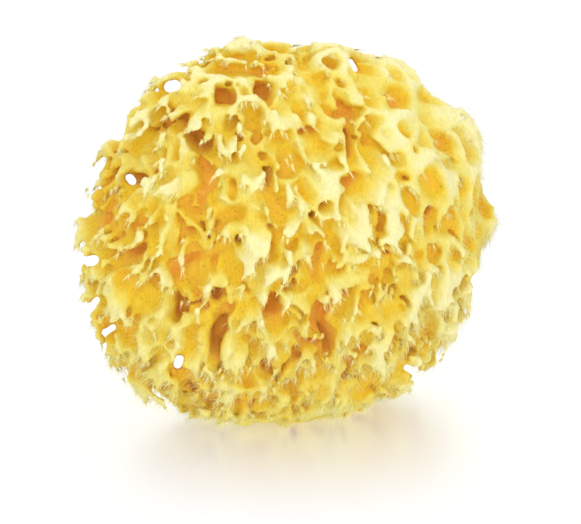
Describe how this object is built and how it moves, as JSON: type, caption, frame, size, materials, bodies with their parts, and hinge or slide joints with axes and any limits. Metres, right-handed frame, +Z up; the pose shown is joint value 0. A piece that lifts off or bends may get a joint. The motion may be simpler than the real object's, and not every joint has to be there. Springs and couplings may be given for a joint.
{
  "type": "sea sponge",
  "caption": "Natural honeycomb bath sponge, a flattened ball with deep open canals and ragged ridges, cut flat underneath so that it rests on a surface.",
  "frame": {"origin": "on the flat cut underneath, below the middle of the sponge's box", "axes": "+X along the longest side, +Y along the shortest side and away from the broad ragged face, +Z up out of the flat cut"},
  "size_m": [0.1294, 0.1032, 0.1172],
  "materials": {
    "spongin": "matt, velvety natural fibre, cream at the tips and golden orange in the canals"
  },
  "bodies": {
    "root": {"sponge": "spongin"}
  },
  "joints": []
}
